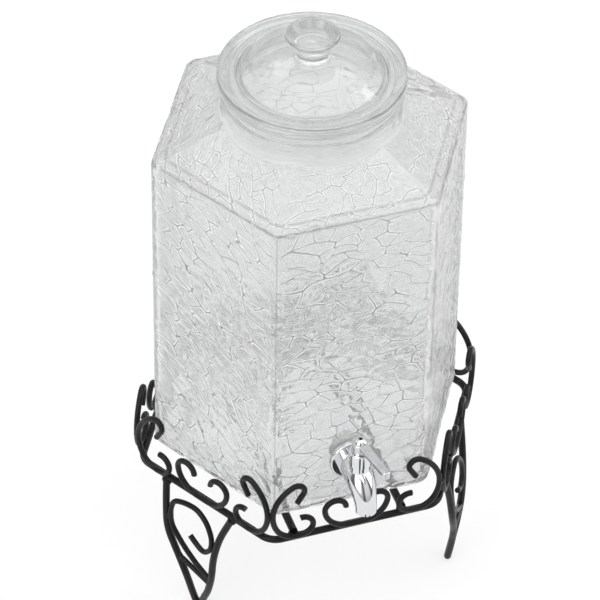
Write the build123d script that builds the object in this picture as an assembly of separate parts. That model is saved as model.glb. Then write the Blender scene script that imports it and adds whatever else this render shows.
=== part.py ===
"""Glass beverage dispenser: a six-sided crackled glass jar with a lid and a tap, on a wire stand.

All sizes are in millimetres and +Z is up. The stand's three feet stand on z = 0. The jar's and the
stand's common upright axis is called the jar axis. The tap is on the front, towards -Y. The origin is
the bottom centre of the whole object's bounding box, so the jar axis stands a little behind it.
"""
from build123d import *

import os
from math import asin, cos, degrees, hypot, pi, radians, sin, sqrt, tan

# Six-sided layout shared by the jar and the stand
side_count = 6
side_step_angle = 360 / side_count
half_side_angle = side_step_angle / 2
side_names = ["right_rear", "rear", "left_rear", "left_front", "front", "right_front"]
side_angles = [half_side_angle + side_step_angle * number for number in range(side_count)]
leg_side_angles = {"rear": 90, "left": 210, "right": 330}

# Clearances
rest_clearance = 0.3
running_clearance = 0.05
overrun = 2.0
same_place = 0.01

# Stand ring: one round rod bent into a rounded hexagon
ring_jar_gap = 9.5
ring_rod_diameter = 6.0
ring_corner_radius = 16.0
ring_height = 123.5
weld_bite = 0.3

# Cross bars that carry the jar: their places to the left and right are shares of the ring's side
cross_bar_diameter = 6.6
cross_bar_shares = {"left": -0.3642, "right": 0.284}

# Scrolls that stand on the ring's outer shoulder: radii and straight runs are shares of the ring's side
scroll_rod_diameter = 4.8
scroll_seat_angle = 45
corner_scroll_heading_angle = 120
corner_scroll_shares = {"tail": 0.071, "hook": 0.0461, "upper": 0.2343, "lower": 0.1349, "curl": 0.0639}
corner_scroll_angles = {"hook": 150, "upper": 87, "lower": 89, "curl": 165}
middle_scroll_shares = {"curl": 0.0625, "side": 0.1491, "base": 0.0767}
middle_scroll_angles = {"curl": 180, "side": 86}

# Legs: a hairpin of thick rod, with a scroll and a brace of thinner rod inside it
leg_rod_diameter = 6.0
leg_top_offset = 1.8
leg_bow = 6.5
leg_width = 69.5
leg_centre_shift = -6.2
foot_flat_depth = 0.4
leg_scroll_diameter = 4.6
leg_brace_diameter = 4.4

# Points of a leg's rods, as shares of the leg's width along the side and of its drop
bend_share = 0.45
leg_left_top_share = -0.50
leg_left_shares = [(-0.46, 0.20), (-0.42, 0.40), (-0.22, 0.62), (-0.13, 0.77), (-0.085, 0.90), (-0.05, 1.0)]
leg_right_shares = [(0.05, 1.0), (0.10, 0.91), (0.20, 0.79), (0.285, 0.62), (0.315, 0.42), (0.385, 0.22)]
leg_right_top_share = 0.52
leg_scroll_tail_share = (0.27, 0.645)
leg_scroll_rise_shares = [(0.04, 0.572), (-0.15, 0.478)]
leg_scroll_side_shares = [(-0.43, 0.35), (-0.455, 0.225)]
leg_scroll_curl_shares = [
    (-0.345, 0.145), (-0.19, 0.112), (0.01, 0.10), (0.175, 0.16), (0.275, 0.26),
    (0.275, 0.36), (0.165, 0.425), (0.04, 0.385), (-0.055, 0.345),
]
leg_brace_left_share = (-0.24, 0.60)
leg_brace_right_share = (0.26, 0.69)

# Jar
jar_across_flats = 225.0
jar_body_height = 300.0
jar_wall = 5.0
jar_floor = 8.0
jar_corner_radius = 9.0
jar_heel_radius = 14.0
jar_shoulder_radius = 4.0
jar_shoulder_slope_angle = 25.8
jar_neck_diameter = 140.0
jar_neck_height = 56.3
jar_rim_overhang = 3.3
jar_rim_height = 7.0
jar_neck_ring_drop = 8.5
jar_neck_ring_radius = 1.2
jar_neck_fillet = 5.0
jar_bore_fillet = 6.0
jar_punt_depth = 2.0
jar_punt_margin = 16.0
jar_inner_fillet = 7.0
jar_inner_corner_drop = 1.0

# Lid
lid_flange_inset = 0.3
lid_flange_thickness = 3.7
lid_step_inset = 5.5
lid_step_height = 7.0
lid_step_lean = 10.5
lid_step_fillet = 3.5
lid_shoulder_fillet = 4.0
lid_dome_height = 7.5
lid_dome_curve = 60.0
lid_dome_middle_radius = 34.0
lid_dome_middle_height = 4.8
lid_wall = 4.5
lid_inner_fillet = 3.0
lid_skirt_inset = 7.0
lid_skirt_depth = 13.0
lid_skirt_fillet = 1.4
lid_seal_height = 8.0
lid_seal_groove = 1.5
edge_roll_share = 0.45

# Knob of the lid
knob_diameter = 42.4
knob_height = 20.4
knob_waist_diameter = 25.0
knob_waist_height = 7.0
knob_root_fillet = 2.5
knob_flare_fillet = 10.0
knob_rim_height = 3.0
knob_rim_fillet = 1.3
knob_well_diameter = 25.0
knob_well_depth = 6.0
knob_well_fillet = 4.0
knob_well_crown = 0.8

# Tap body
tap_height = 56.4
tap_side_shift = -2.0
tap_shank_diameter = 16.0
tap_shank_length = 26.0
tap_hole_clearance = 0.5
tap_flange_diameter = 36.0
tap_flange_thickness = 4.0
tap_flange_edge = 1.5
tap_body_diameter = 24.5
tap_body_length = 11.5
tap_spout_radius = 23.0
tap_spout_angle = 88
tap_mouth_diameter = 17.0
tap_bore_diameter = 9.0
tap_port_diameter = 5.4
tap_outlet_share = 0.5
tap_sections = 7

# Tap valve, on an upright axis in front of the jar
valve_reach = 23.6
valve_housing_diameter = 16.4
valve_housing_height = 15.0
valve_neck_diameter = 13.0
valve_neck_height = 8.8
valve_plug_diameter = 11.0
valve_plug_drop = 7.0
bonnet_diameter = 18.6
bonnet_top_thickness = 3.4
stem_diameter = 8.0
stem_square = 5.4
stem_square_height = 4.5
seal_ring_thickness = 1.8
seal_ring_height = 11.0

# Handle and its screw
handle_hub_diameter = 14.0
handle_hub_height = 5.2
handle_bar_width = 8.4
handle_thickness = 3.6
handle_length = 38.0
handle_tip_diameter = 7.0
handle_tip_height = 6.0
handle_edge = 1.0
handle_rest_angle = 12
screw_shank_diameter = 3.0
screw_shank_length = 12.0
screw_head_diameter = 10.6
screw_head_height = 3.4
screw_recess_diameter = 2.6
screw_recess_depth = 1.6

# Washers and nut
washer_diameter = 28.0
outer_washer_thickness = 2.0
inner_washer_thickness = 2.5
nut_across_flats = 26.0
nut_thickness = 7.0
nut_edge = 1.0

# Sizes that follow from those above
jar_inradius = jar_across_flats / 2
ring_inradius = jar_inradius + ring_jar_gap
ring_side_length = 2 * ring_inradius * tan(radians(half_side_angle))
ring_rod_radius = ring_rod_diameter / 2
scroll_rod_radius = scroll_rod_diameter / 2
leg_rod_radius = leg_rod_diameter / 2
cross_bar_radius = cross_bar_diameter / 2
scroll_seat_distance = ring_rod_radius + scroll_rod_radius - weld_bite
scroll_plane_out = scroll_seat_distance * cos(radians(scroll_seat_angle))
scroll_seat_up = scroll_seat_distance * sin(radians(scroll_seat_angle))
cross_bar_height = ring_height + ring_rod_radius + cross_bar_radius - weld_bite

jar_base_height = cross_bar_height + cross_bar_radius + rest_clearance
jar_shoulder_height = jar_base_height + jar_body_height
jar_rim_top = jar_shoulder_height + jar_neck_height
jar_neck_radius = jar_neck_diameter / 2
jar_bore_radius = jar_neck_radius - jar_wall
jar_rim_radius = jar_neck_radius + jar_rim_overhang
shoulder_slope_share = tan(radians(jar_shoulder_slope_angle))

tap_bore_radius = tap_bore_diameter / 2
tap_port_radius = tap_port_diameter / 2
valve_plug_radius = valve_plug_diameter / 2
tap_body_start = outer_washer_thickness + tap_flange_thickness
tap_bend_start = tap_body_start + tap_body_length
tap_axis_height = jar_base_height + tap_height
bonnet_top = valve_housing_height + valve_neck_height + rest_clearance + bonnet_top_thickness
handle_base = bonnet_top + rest_clearance
handle_top = handle_base + handle_hub_height + handle_thickness

valve_turn = degrees(asin((valve_reach - tap_bend_start) / tap_spout_radius))
valve_drop = tap_spout_radius * (1 - cos(radians(valve_turn)))

leg_drop = ring_height - leg_rod_radius + foot_flat_depth
leg_scroll_touch = leg_rod_radius + leg_scroll_diameter / 2 - weld_bite
leg_end_touch = leg_rod_radius - weld_bite


def rounded_hexagon(inradius, corner_radius):
    """Hexagon with two corners on the X axis and all its corners rounded."""
    outline = RegularPolygon(inradius, side_count, major_radius=False)
    return fillet(outline.vertices(), corner_radius)


def round_rod(path, diameter):
    """Sweep a round rod along a path."""
    section = Plane(origin=path @ 0, z_dir=path % 0) * Circle(diameter / 2)
    return sweep(section, path=path)


def bent_path(heading, steps):
    """Flat path of straight runs (turn 0) and tangent arcs, each step a size and a turn in degrees."""
    point = Vector(0, 0)
    direction = Vector(cos(radians(heading)), sin(radians(heading)))
    edges = []
    for size, turn in steps:
        if turn:
            edge = JernArc(point, direction, size, turn)
        else:
            edge = Line(point, point + direction * size)
        edges.append(edge)
        point = edge @ 1
        direction = edge % 1
    return Wire([edge.edge() for edge in edges])


def side_plane(angle, out=0.0):
    """Upright plane along one side of the ring: local X runs along the side, local Y is up."""
    reach = ring_inradius + out
    outward = Vector(cos(radians(angle)), sin(radians(angle)), 0)
    along = Vector(-sin(radians(angle)), cos(radians(angle)), 0)
    return Plane(origin=outward * reach + Vector(0, 0, ring_height), x_dir=along, z_dir=outward)


def make_ring():
    """The rod hexagon that ties the stand together."""
    path = rounded_hexagon(ring_inradius, ring_corner_radius).face().outer_wire()
    return Pos(0, 0, ring_height) * round_rod(path, ring_rod_diameter)


def make_cross_bar(side):
    """One straight bar from the front of the ring to its back, on top of it."""
    bar = Cylinder(cross_bar_radius, 2 * ring_inradius)
    place = cross_bar_shares[side] * ring_side_length
    return Pos(place, 0, cross_bar_height) * Rot(90, 0, 0) * bar


def corner_scroll_path():
    """C-shaped scroll, from its upper tail over the belly to its lower curl, belly towards +X."""
    steps = [(ring_side_length * corner_scroll_shares["tail"], 0)]
    for name, turn in corner_scroll_angles.items():
        steps.append((ring_side_length * corner_scroll_shares[name], -turn))
    path = bent_path(corner_scroll_heading_angle, steps)
    half_side = (ring_inradius + scroll_plane_out) * tan(radians(half_side_angle))
    belly_reach = half_side - scroll_rod_radius / cos(radians(half_side_angle)) + weld_bite
    box = path.bounding_box()
    return Pos(belly_reach - box.max.X, scroll_seat_up - box.min.Y, 0) * path


def middle_scroll_path():
    """U-shaped scroll with both ends curled inwards."""
    curl, side = [(ring_side_length * middle_scroll_shares[name], turn)
                  for name, turn in middle_scroll_angles.items()]
    base = (ring_side_length * middle_scroll_shares["base"], 0)
    path = bent_path(-sum(middle_scroll_angles.values()), [curl, side, base, side, curl])
    box = path.bounding_box()
    return Pos(-box.center().X, scroll_seat_up - box.min.Y, 0) * path


def make_corner_scroll(angle, end):
    """Scroll at one end of a side: end is 1 or -1 along the side."""
    rod = round_rod(corner_scroll_path(), scroll_rod_diameter)
    if end < 0:
        rod = mirror(rod, about=Plane.YZ)
    return side_plane(angle, scroll_plane_out) * rod


def make_middle_scroll(angle):
    """Scroll at the middle of a side."""
    return side_plane(angle, scroll_plane_out) * round_rod(middle_scroll_path(), scroll_rod_diameter)


def smooth_path(points):
    """Path through straight runs with arcs as large as the runs allow at its corners."""
    radii = []
    for before, corner, after in zip(points, points[1:], points[2:]):
        incoming = corner - before
        outgoing = after - corner
        half_turn = radians(incoming.get_angle(outgoing) / 2)
        radii.append(bend_share * min(incoming.length, outgoing.length) / tan(half_turn))
    return FilletPolyline(*points, radius=radii)


def leg_point(along_share, down_share, shift=0.0):
    """Point of a leg: shares of the leg's width and drop, bowed outwards between ring and foot."""
    out = leg_top_offset + leg_bow * sin(pi * down_share)
    return Vector(leg_centre_shift + along_share * leg_width + shift, -down_share * leg_drop, out)


def leg_top(along_share):
    """End of a leg's rod on the ring's underside, with the weld's small bite."""
    skin_drop = sqrt(ring_rod_radius ** 2 - leg_top_offset ** 2) - weld_bite
    return leg_point(along_share, 0) - Vector(0, skin_drop, 0)


def make_leg(angle):
    """Hairpin leg: down from the ring, round the foot and up again, with a flat worn on the foot."""
    left = [leg_point(*share) for share in leg_left_shares]
    right = [leg_point(*share) for share in leg_right_shares]
    path = smooth_path([leg_top(leg_left_top_share), *left, *right, leg_top(leg_right_top_share)])
    leg = side_plane(angle) * round_rod(path, leg_rod_diameter)
    ground_width = 4 * ring_inradius
    ground = Box(ground_width, ground_width, leg_rod_diameter,
                 align=(Align.CENTER, Align.CENTER, Align.MAX))
    return leg - ground


def make_leg_scroll(angle):
    """Scroll of thinner rod inside a leg, from its tail at one rod round past the other."""
    tail = leg_point(*leg_scroll_tail_share, -leg_end_touch)
    rise = [leg_point(*share) for share in leg_scroll_rise_shares]
    side = [leg_point(*share, leg_scroll_touch) for share in leg_scroll_side_shares]
    curl = [leg_point(*share) for share in leg_scroll_curl_shares]
    path = smooth_path([tail, *rise, *side, *curl])
    return side_plane(angle) * round_rod(path, leg_scroll_diameter)


def make_leg_brace(angle):
    """Short brace between a leg's two rods, under the scroll's tail."""
    start = leg_point(*leg_brace_left_share, leg_end_touch)
    end = leg_point(*leg_brace_right_share, -leg_end_touch)
    return side_plane(angle) * round_rod(Line(start, end), leg_brace_diameter)


def hexagon_shell(inradius, corner_radius, bottom, shoulder, top_inradius):
    """Upright hexagonal prism closed by a low hexagonal roof."""
    foot = rounded_hexagon(inradius, corner_radius)
    top = rounded_hexagon(top_inradius, corner_radius)
    roof_height = (inradius - top_inradius) * shoulder_slope_share
    prism = Pos(0, 0, bottom) * extrude(foot, shoulder - bottom)
    roof = loft([Pos(0, 0, shoulder) * foot, Pos(0, 0, shoulder + roof_height) * top], ruled=True)
    return prism + roof


def edges_at(shape, height):
    """Edges that lie flat at one height."""
    return [edge for edge in shape.edges()
            if abs(edge.bounding_box().min.Z - height) < same_place
            and abs(edge.bounding_box().max.Z - height) < same_place]


def edges_round(shape, radius, bottom, top):
    """Edges that run round the jar axis at one radius, between two heights."""
    found = []
    for edge in shape.edges():
        middle = edge @ 0.5
        if abs(hypot(middle.X, middle.Y) - radius) < same_place and bottom < middle.Z < top:
            found.append(edge)
    return found


def make_jar():
    """Glass jar: hexagonal body, sloping shoulder, round neck and a thick rim."""
    top_inradius = jar_bore_radius * cos(radians(half_side_angle)) - overrun
    outer = hexagon_shell(jar_inradius, jar_corner_radius, jar_base_height, jar_shoulder_height,
                          top_inradius)
    outer = fillet(edges_at(outer, jar_base_height), jar_heel_radius)
    outer = fillet(edges_at(outer, jar_shoulder_height), jar_shoulder_radius)
    rim_foot = jar_rim_top - jar_rim_height
    outer += Pos(0, 0, jar_shoulder_height) * post(jar_neck_radius, rim_foot - jar_shoulder_height)
    neck_root = edges_round(outer, jar_neck_radius, jar_shoulder_height, rim_foot - same_place)
    outer = fillet(neck_root, jar_neck_fillet) + make_rim()
    ring_on_neck = rim_foot - jar_neck_ring_drop
    outer += Pos(0, 0, ring_on_neck) * Torus(jar_neck_radius, jar_neck_ring_radius)

    inner_inradius = jar_inradius - jar_wall
    roof_drop = jar_wall / cos(radians(jar_shoulder_slope_angle)) - jar_wall * shoulder_slope_share
    inner_shoulder = jar_shoulder_height - roof_drop
    inner_floor = jar_base_height + jar_floor
    inner_corner_radius = jar_corner_radius - jar_inner_corner_drop
    inner_top = top_inradius - jar_wall
    inner = hexagon_shell(inner_inradius, inner_corner_radius, inner_floor, inner_shoulder, inner_top)
    inner = fillet(edges_at(inner, inner_floor), jar_inner_fillet)
    bore_height = jar_rim_top + overrun - inner_shoulder
    inner += Pos(0, 0, inner_shoulder) * post(jar_bore_radius, bore_height)
    bore_root = edges_round(inner, jar_bore_radius, inner_shoulder, jar_rim_top)
    inner = fillet(bore_root, jar_bore_fillet)

    punt = rounded_hexagon(jar_inradius - jar_punt_margin, jar_corner_radius)
    punt = Pos(0, 0, jar_base_height) * extrude(punt, jar_punt_depth)
    hole = tap_place() * Cylinder(tap_shank_diameter / 2 + tap_hole_clearance, 2 * jar_wall + overrun)
    return outer - inner - punt - hole


def turned(points, radii):
    """Solid of revolution from a chain of (radius, height) points with rounded inner points."""
    outline = FilletPolyline(*points, radius=radii)
    outline += Line(points[-1], points[0])
    return revolve(Plane.XZ * make_face(outline), Axis.Z)


def make_rim():
    """Rolled rim round the top of the neck."""
    foot = jar_rim_top - jar_rim_height
    roll = jar_rim_height * edge_roll_share
    points = [
        (jar_bore_radius, foot), (jar_rim_radius, foot),
        (jar_rim_radius, jar_rim_top), (jar_bore_radius, jar_rim_top),
    ]
    return turned(points, [roll, roll])


def make_lid():
    """Glass lid: flange, raised step, low dome with a cup-shaped knob, and a skirt that enters the neck."""
    flange_foot = jar_rim_top + rest_clearance
    flange_top = flange_foot + lid_flange_thickness
    step_top = flange_top + lid_step_height
    dome_top = step_top + lid_dome_height
    knob_top = dome_top + knob_height
    flange_radius = jar_rim_radius - lid_flange_inset
    step_radius = jar_bore_radius - lid_step_inset
    shoulder_radius = step_radius - lid_step_lean
    skirt_radius = jar_bore_radius - lid_skirt_inset
    waist_radius = knob_waist_diameter / 2
    knob_radius = knob_diameter / 2
    rim_inner_radius = knob_radius - knob_rim_height
    well_floor = knob_top - knob_well_depth
    edge_roll = lid_flange_thickness * edge_roll_share
    dome_middle = step_top + lid_dome_middle_height
    profile = [
        ((knob_well_diameter / 2, well_floor), knob_well_fillet),
        ((rim_inner_radius, knob_top), knob_rim_fillet),
        ((knob_radius, knob_top), knob_rim_fillet),
        ((knob_radius, knob_top - knob_rim_height), knob_rim_height),
        ((waist_radius, dome_top + knob_waist_height), knob_flare_fillet),
        ((waist_radius, dome_top), knob_root_fillet),
        ((lid_dome_middle_radius, dome_middle), lid_dome_curve),
        ((shoulder_radius, step_top), lid_shoulder_fillet),
        ((step_radius, flange_top), lid_step_fillet),
        ((flange_radius, flange_top), edge_roll),
        ((flange_radius, flange_foot), edge_roll),
        ((skirt_radius, flange_foot), lid_skirt_fillet),
        ((skirt_radius, flange_foot - lid_skirt_depth), lid_skirt_fillet),
        ((skirt_radius - lid_wall, flange_foot - lid_skirt_depth), lid_skirt_fillet),
        ((skirt_radius - lid_wall, flange_foot), lid_inner_fillet),
        ((shoulder_radius - lid_wall, step_top - lid_wall), lid_inner_fillet),
        ((lid_dome_middle_radius, dome_middle - lid_wall), lid_dome_curve - lid_wall),
        ((waist_radius, dome_top - lid_wall), lid_dome_curve - lid_wall),
    ]
    points = [(0, well_floor + knob_well_crown)] + [point for point, radius in profile]
    points.append((0, dome_top - lid_wall))
    return turned(points, [radius for point, radius in profile])


def make_lid_seal():
    """Clear ring round the lid's skirt that seals against the neck's bore."""
    top = jar_rim_top + rest_clearance - lid_skirt_fillet
    outer_radius = jar_bore_radius - rest_clearance
    ring = post(outer_radius, lid_seal_height) - post(jar_bore_radius - lid_skirt_inset, lid_seal_height)
    groove = Pos(0, 0, lid_seal_height / 2) * Torus(outer_radius, lid_seal_groove)
    return Pos(0, 0, top - lid_seal_height) * (ring - groove)


def tap_place():
    """Place on the jar's front: local X to the right, local Y up and local Z outwards."""
    return Pos(tap_side_shift, -jar_inradius, tap_axis_height) * Rot(90, 0, 0)


def upright(out, foot):
    """Place for upright pieces of the tap: local Z up, foot above the tap's axis."""
    return Pos(tap_side_shift, -jar_inradius - out, tap_axis_height + foot)


def post(radius, height):
    """Upright cylinder that stands on its place."""
    return Cylinder(radius, height, align=(Align.CENTER, Align.CENTER, Align.MIN))


def spout_path(start):
    """Centre line of the water way: outwards from the jar, then bent down to the mouth."""
    return bent_path(0, [(tap_bend_start - start, 0), (tap_spout_radius, -tap_spout_angle)])


def spout_plane():
    """Plane of the water way's centre line: local X outwards, local Y up."""
    return Plane(origin=(tap_side_shift, -jar_inradius, tap_axis_height), x_dir=(0, -1, 0), z_dir=(-1, 0, 0))


def make_spout():
    """Body of the tap: a thick barrel that bends down and narrows to the mouth."""
    body_radius = tap_body_diameter / 2
    mouth_radius = tap_mouth_diameter / 2
    sections = []
    for number in range(tap_sections + 1):
        share = number / tap_sections
        turn = radians(share * tap_spout_angle)
        out = tap_bend_start + tap_spout_radius * sin(turn)
        down = tap_spout_radius * (1 - cos(turn))
        radius = body_radius + (mouth_radius - body_radius) * sin(share * pi / 2) ** 2
        section_plane = Plane(origin=(out, -down, 0), x_dir=(0, 0, 1), z_dir=(cos(turn), -sin(turn), 0))
        sections.append(section_plane * Circle(radius))
    barrel = extrude(Plane(origin=(tap_body_start, 0, 0), x_dir=(0, 0, 1), z_dir=(1, 0, 0))
                     * Circle(body_radius), tap_body_length)
    return spout_plane() * (barrel + loft(sections))


def make_tap_body():
    """Tap body: shank, flange, bent spout and valve housing, with its water way bored through."""
    shank_end = outer_washer_thickness - tap_shank_length
    shank = Pos(0, 0, shank_end) * post(tap_shank_diameter / 2, tap_shank_length)
    flange = Pos(0, 0, outer_washer_thickness) * post(tap_flange_diameter / 2, tap_flange_thickness)
    flange = fillet(flange.faces().sort_by(Axis.Z)[-1].edges(), tap_flange_edge)
    housing = upright(valve_reach, 0) * post(valve_housing_diameter / 2, valve_housing_height)
    neck = upright(valve_reach, 0) * post(valve_neck_diameter / 2, valve_housing_height + valve_neck_height)
    body = tap_place() * (shank + flange) + make_spout() + housing + neck

    inlet = Pos(0, 0, shank_end) * post(tap_bore_radius, tap_bend_start - shank_end)
    body -= tap_place() * inlet
    port = round_rod(spout_path(0), tap_port_diameter)
    body -= spout_plane() * port
    outlet_start_angle = tap_spout_angle * tap_outlet_share
    outlet_turn = tap_spout_angle - outlet_start_angle
    outlet_path = bent_path(-outlet_start_angle, [(tap_spout_radius, -outlet_turn), (overrun, 0)])
    outlet_out = tap_bend_start + tap_spout_radius * sin(radians(outlet_start_angle))
    outlet_down = tap_spout_radius * (1 - cos(radians(outlet_start_angle)))
    body -= spout_plane() * (Pos(outlet_out, -outlet_down, 0) * round_rod(outlet_path, tap_bore_diameter))
    plug_bore = post(valve_plug_radius + running_clearance,
                     valve_plug_drop + valve_housing_height + valve_neck_height + overrun + rest_clearance)
    return body - upright(valve_reach, -valve_plug_drop - rest_clearance) * plug_bore


def make_bonnet():
    """Cap that screws over the housing's neck and keeps the valve plug down."""
    foot = valve_housing_height + running_clearance
    height = bonnet_top - foot
    bonnet = post(bonnet_diameter / 2, height)
    bonnet = fillet(bonnet.faces().sort_by(Axis.Z)[-1].edges(), handle_edge)
    bonnet -= post(valve_neck_diameter / 2 + running_clearance, valve_neck_height + rest_clearance)
    bonnet -= post(stem_diameter / 2 + 2 * running_clearance, height)
    return upright(valve_reach, foot) * bonnet


def make_valve_plug():
    """Turning plug: a cylinder with one cross hole, a seal groove and a square on its stem."""
    plug_height = valve_plug_drop + valve_housing_height + valve_neck_height
    stem_top = handle_base + handle_hub_height - stem_square_height
    stem_height = stem_top - valve_housing_height - valve_neck_height
    plug = post(valve_plug_radius, plug_height)
    plug += Pos(0, 0, plug_height) * post(stem_diameter / 2, stem_height)
    square = Box(stem_square, stem_square, stem_square_height, align=(Align.CENTER, Align.CENTER, Align.MIN))
    plug += Pos(0, 0, plug_height + stem_height) * Rot(0, 0, handle_rest_angle) * square
    cross_hole = Rot(0, 90, 0) * Cylinder(tap_port_radius, valve_plug_diameter + overrun)
    plug -= Pos(0, 0, valve_plug_drop - valve_drop) * cross_hole
    groove_height = seal_ring_thickness + running_clearance
    groove = Cylinder(valve_plug_radius + overrun, groove_height)
    groove -= Cylinder(valve_plug_radius - seal_ring_thickness, groove_height)
    plug -= Pos(0, 0, valve_plug_drop + seal_ring_height) * groove
    screw_foot = plug_height + stem_height + stem_square_height + handle_thickness - screw_shank_length
    plug -= Pos(0, 0, screw_foot) * post(screw_shank_diameter / 2 + running_clearance, screw_shank_length)
    return upright(valve_reach, -valve_plug_drop) * plug


def make_seal_ring():
    """O-ring in the valve plug's groove."""
    ring = Torus(valve_plug_radius - seal_ring_thickness / 2, seal_ring_thickness / 2)
    return upright(valve_reach, seal_ring_height) * ring


def make_handle():
    """Lever handle: hub over the stem, a flat tapering bar and a thicker tip."""
    hub = post(handle_hub_diameter / 2, handle_hub_height + handle_thickness)
    tip = Pos(0, -handle_length, handle_hub_height + handle_thickness - handle_tip_height) * post(
        handle_tip_diameter / 2, handle_tip_height)
    bar_outline = make_face(Polyline(
        (-handle_bar_width / 2, 0), (-handle_tip_diameter / 2, -handle_length),
        (handle_tip_diameter / 2, -handle_length), (handle_bar_width / 2, 0), close=True))
    bar = Pos(0, 0, handle_hub_height) * extrude(bar_outline, handle_thickness)
    lever = hub + bar + tip
    top_edges = lever.faces().sort_by(Axis.Z)[-1].edges()
    lever = fillet(top_edges, handle_edge)
    socket_side = stem_square + 2 * running_clearance
    lever -= Pos(0, 0, handle_hub_height - stem_square_height) * Box(
        socket_side, socket_side, stem_square_height, align=(Align.CENTER, Align.CENTER, Align.MIN))
    lever -= post(stem_diameter / 2 + running_clearance, handle_hub_height - stem_square_height)
    screw_hole_height = handle_hub_height + handle_thickness + overrun
    lever -= post(screw_shank_diameter / 2 + running_clearance, screw_hole_height)
    return upright(valve_reach, handle_base) * Rot(0, 0, handle_rest_angle) * lever


def make_handle_screw():
    """Dome-headed screw that holds the handle on the stem."""
    head_radius = screw_head_diameter / 2
    ball_radius = (head_radius ** 2 + screw_head_height ** 2) / (2 * screw_head_height)
    ball = Pos(0, 0, screw_head_height - ball_radius) * Sphere(ball_radius)
    head = ball & post(screw_head_diameter, screw_head_height)
    head -= Pos(0, 0, screw_head_height - screw_recess_depth) * post(
        screw_recess_diameter / 2, screw_recess_depth + overrun)
    shank = Pos(0, 0, -screw_shank_length) * post(screw_shank_diameter / 2, screw_shank_length)
    return upright(valve_reach, handle_top) * (head + shank)


def make_washer(foot, thickness):
    """Soft washer on the shank, its foot measured outwards from the jar's face."""
    washer = post(washer_diameter / 2, thickness)
    washer -= post(tap_shank_diameter / 2 + running_clearance, thickness)
    return tap_place() * Pos(0, 0, foot) * washer


def make_lock_nut():
    """Nut inside the jar that pulls the tap against the glass."""
    blank = extrude(RegularPolygon(nut_across_flats / 2, side_count, major_radius=False), nut_thickness)
    corner_cut = post(nut_across_flats / 2 + nut_edge, nut_thickness)
    nut = blank & fillet(corner_cut.edges().filter_by(GeomType.CIRCLE), nut_edge)
    nut -= post(tap_shank_diameter / 2 + running_clearance, nut_thickness)
    foot = -jar_wall - inner_washer_thickness - nut_thickness
    return tap_place() * Pos(0, 0, foot) * nut


def build_parts():
    """Every piece under its node's name."""
    parts = {
        "glass_jar": make_jar(),
        "glass_lid": make_lid(),
        "lid_seal": make_lid_seal(),
        "tap_body": make_tap_body(),
        "tap_bonnet": make_bonnet(),
        "valve_plug": make_valve_plug(),
        "valve_seal_ring": make_seal_ring(),
        "tap_handle": make_handle(),
        "handle_screw": make_handle_screw(),
        "outer_washer": make_washer(0, outer_washer_thickness),
        "inner_washer": make_washer(-jar_wall - inner_washer_thickness, inner_washer_thickness),
        "lock_nut": make_lock_nut(),
        "stand_ring": make_ring(),
        "cross_bar_left": make_cross_bar("left"),
        "cross_bar_right": make_cross_bar("right"),
    }
    for side, angle in zip(side_names, side_angles):
        parts[f"corner_scroll_{side}_a"] = make_corner_scroll(angle, -1)
        parts[f"corner_scroll_{side}_b"] = make_corner_scroll(angle, 1)
        parts[f"middle_scroll_{side}"] = make_middle_scroll(angle)
    for side, angle in leg_side_angles.items():
        parts[f"leg_{side}"] = make_leg(angle)
        parts[f"leg_scroll_{side}"] = make_leg_scroll(angle)
        parts[f"leg_brace_{side}"] = make_leg_brace(angle)
    return parts


os.makedirs("parts", exist_ok=True)
parts = build_parts()
box = Compound(list(parts.values())).bounding_box()
for name, shape in parts.items():
    export_step(Pos(0, -box.center().Y, 0) * shape, f"parts/{name}.step")
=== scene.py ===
import math

import bmesh
import bpy
import numpy as np
from mathutils import Matrix, Vector, noise


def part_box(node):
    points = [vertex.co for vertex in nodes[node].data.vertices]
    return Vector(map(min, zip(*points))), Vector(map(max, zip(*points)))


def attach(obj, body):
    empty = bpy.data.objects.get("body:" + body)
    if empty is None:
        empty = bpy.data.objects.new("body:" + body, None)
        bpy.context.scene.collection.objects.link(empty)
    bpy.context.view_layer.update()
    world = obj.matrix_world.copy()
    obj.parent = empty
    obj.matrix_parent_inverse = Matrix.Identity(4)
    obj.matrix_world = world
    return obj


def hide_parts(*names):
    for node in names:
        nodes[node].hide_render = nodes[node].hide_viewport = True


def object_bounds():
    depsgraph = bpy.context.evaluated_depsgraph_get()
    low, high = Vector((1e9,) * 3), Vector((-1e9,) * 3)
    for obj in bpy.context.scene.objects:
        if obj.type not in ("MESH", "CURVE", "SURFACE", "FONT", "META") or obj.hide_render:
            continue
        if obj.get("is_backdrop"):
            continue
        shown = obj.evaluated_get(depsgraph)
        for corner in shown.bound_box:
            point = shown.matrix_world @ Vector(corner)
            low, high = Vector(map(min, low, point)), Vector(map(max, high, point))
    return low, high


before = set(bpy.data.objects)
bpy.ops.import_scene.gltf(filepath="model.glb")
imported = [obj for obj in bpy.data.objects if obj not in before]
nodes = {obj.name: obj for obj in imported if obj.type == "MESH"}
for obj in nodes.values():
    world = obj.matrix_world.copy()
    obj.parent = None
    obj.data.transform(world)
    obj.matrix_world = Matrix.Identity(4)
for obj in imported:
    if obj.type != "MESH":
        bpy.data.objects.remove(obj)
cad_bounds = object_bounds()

MM = 0.001
jar_low, jar_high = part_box("glass_jar")
axis_y = (jar_low.y + jar_high.y) / 2 / MM

# Jar
jar_inradius = (jar_high.y - jar_low.y) / 2 / MM
jar_base = jar_low.z / MM
jar_rim_top = jar_high.z / MM
body_height = 300.0
jar_shoulder = jar_base + body_height
jar_wall = 5.0
jar_floor = 8.0
jar_corner = 9.0
inner_corner = 8.0
jar_heel = 14.0
jar_slope = math.tan(math.radians(25.8))
neck_radius = 70.0
bore_radius = 65.0
rim_radius = 73.3
rim_height = 7.0
side_length = 2 * jar_inradius * math.tan(math.pi / 6)
perimeter = 6 * side_length
tap_height = 56.4
tap_shift = -2.0

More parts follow.
